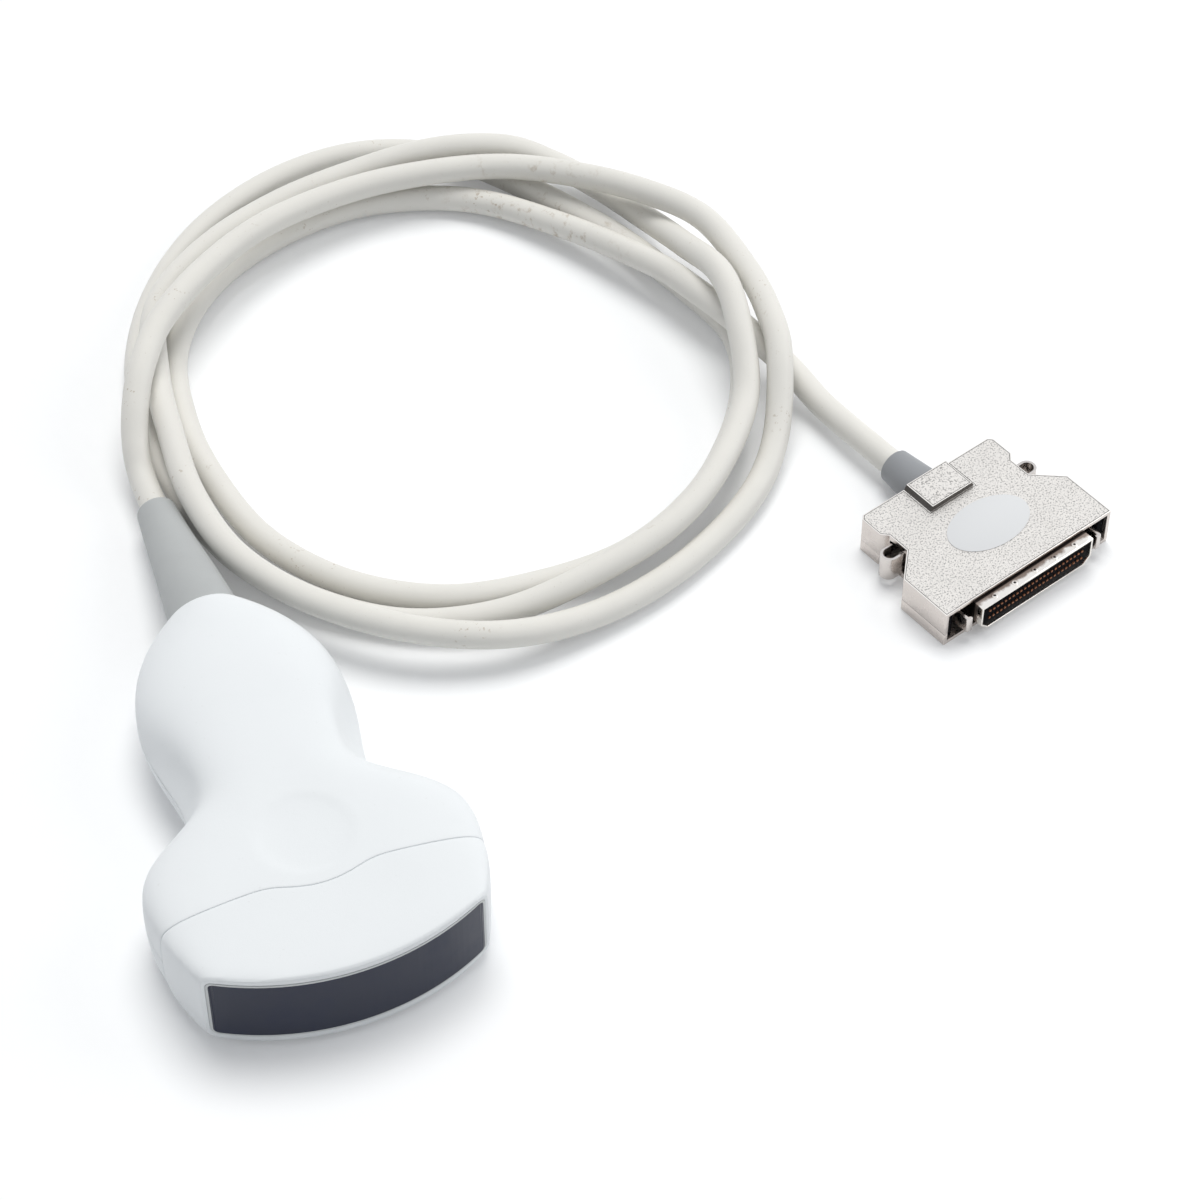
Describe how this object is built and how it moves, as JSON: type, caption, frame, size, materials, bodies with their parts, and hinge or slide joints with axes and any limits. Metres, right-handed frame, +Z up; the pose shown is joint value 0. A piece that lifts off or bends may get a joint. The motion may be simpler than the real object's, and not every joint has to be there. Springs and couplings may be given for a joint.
{
  "type": "convex ultrasound probe",
  "caption": "Hand-held convex ultrasound probe with a curved lens, waisted two-part handle, drooping strain relief, looped cable and a flat latching D-shaped multi-way plug.",
  "frame": {"origin": "under the middle of the probe's box, on the surface that the probe and its plug lie on", "axes": "+Y from the lens to the strain-relief boot, +Z up, +X towards the plug's side"},
  "size_m": [0.2549, 0.2741, 0.026],
  "materials": {
    "housing": "fine matt moulded skin",
    "lens": "satin silicone",
    "seal": "satin",
    "matching": "filled epoxy",
    "piezo": "diced ceramic with a gold face",
    "backing": "filled rubber",
    "carrier": "moulded",
    "flex": "polyimide film",
    "board": "solder mask",
    "socket": "moulded",
    "cores": "bundled fine coaxial cores",
    "ferrule": "tinned",
    "clamp": "machined",
    "screw": "bright",
    "boot": "satin",
    "cable": "satin jacket",
    "hood": "pebbled nickel plate with bright rims",
    "label": "bare satin film",
    "plug_boot": "satin",
    "shroud": "bright plated sheet",
    "insulator": "moulded",
    "contact": "copper alloy, plated",
    "post": "moulded",
    "latch": "spring steel strip"
  },
  "bodies": {
    "probe_and_plug": {"nose_shell": "housing", "upper_handle_shell": "housing", "lower_handle_shell": "housing", "acoustic_lens": "lens", "lens_seal": "seal", "matching_layer": "matching", "piezo_elements": "piezo", "backing_block": "backing", "array_carrier": "carrier", "upper_flex": "flex", "lower_flex": "flex", "interconnect_board": "board", "board_sockets": "socket", "board_cradle": "carrier", "coax_bundle": "cores", "shield_ferrule": "ferrule", "cable_clamp": "clamp", "clamp_screws": "screw", "strain_relief_boot": "boot", "cable": "cable", "hood_upper": "hood", "hood_lower": "hood", "hood_screws": "screw", "bare_label": "label", "connector_boot": "plug_boot", "plug_ferrule": "ferrule", "cable_saddle": "clamp", "saddle_screws": "screw", "plug_shroud": "shroud", "plug_insulator": "insulator", "upper_contacts": "contact", "lower_contacts": "contact", "termination_board": "board", "wire_fan": "cores", "corner_posts": "post", "latch_pins": "screw", "latch_springs": "screw"},
    "left_latch": {"latch_left": "latch"},
    "right_latch": {"latch_right": "latch"}
  },
  "joints": [
    {"name": "right_latch_hinge", "type": "hinge", "parent": "probe_and_plug", "child": "right_latch", "pos_m": [0.20407, 0.00292, 0.0053], "axis": [0, 0, 1], "range_deg": [0, 6], "stiffness_Nm_per_rad": 0.4, "springref_deg": -2.86},
    {"name": "left_latch_hinge", "type": "hinge", "parent": "probe_and_plug", "child": "left_latch", "pos_m": [0.16869, -0.00858, 0.0053], "axis": [0, 0, -1], "range_deg": [0, 6], "stiffness_Nm_per_rad": 0.4, "springref_deg": -2.86}
  ]
}
